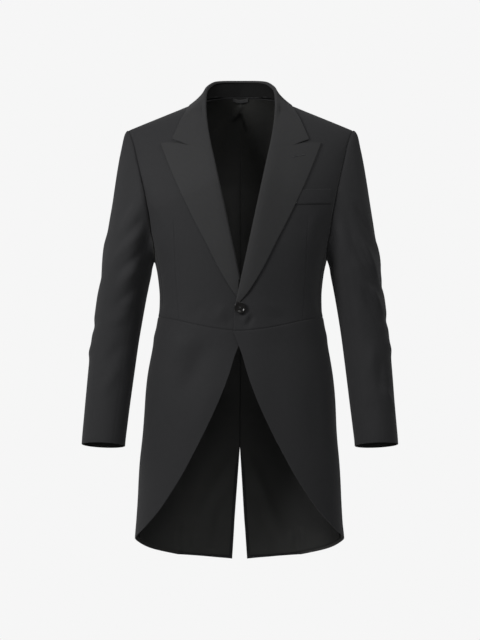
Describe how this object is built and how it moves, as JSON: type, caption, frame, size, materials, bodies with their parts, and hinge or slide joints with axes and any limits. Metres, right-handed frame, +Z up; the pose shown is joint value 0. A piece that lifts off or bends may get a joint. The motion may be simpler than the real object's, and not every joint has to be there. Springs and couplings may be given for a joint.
{
  "type": "morning coat with peak lapels, worn form",
  "caption": "Hollow worn morning coat with peak lapels, a button at the waist, cutaway fronts, long tails and a back vent.",
  "frame": {"origin": "middle of the neck, level with the points where the shoulders meet the collar's edge, where the wearer holds the coat up", "axes": "+Z up, -Y toward the coat's front, +X toward the wearer's left"},
  "size_m": [0.6352, 0.2716, 0.9915],
  "materials": {
    "wool": "matt worsted twill, charcoal black",
    "lining": "smooth black lining twill",
    "horn": "polished black horn"
  },
  "bodies": {
    "root": {"front_left": "wool", "front_right": "wool", "side_body_left": "wool", "side_body_right": "wool", "back_left": "wool", "back_right": "wool", "skirt_left": "wool", "skirt_right": "wool", "lapel_left": "wool", "lapel_right": "wool", "upper_sleeve_left": "wool", "upper_sleeve_right": "wool", "under_sleeve_left": "wool", "under_sleeve_right": "wool", "collar_fall": "wool", "collar_stand": "wool", "breast_welt": "wool", "back_lining": "lining", "tail_lining_left": "lining", "tail_lining_right": "lining", "hanger_loop": "lining", "front_button": "horn"}
  },
  "joints": []
}
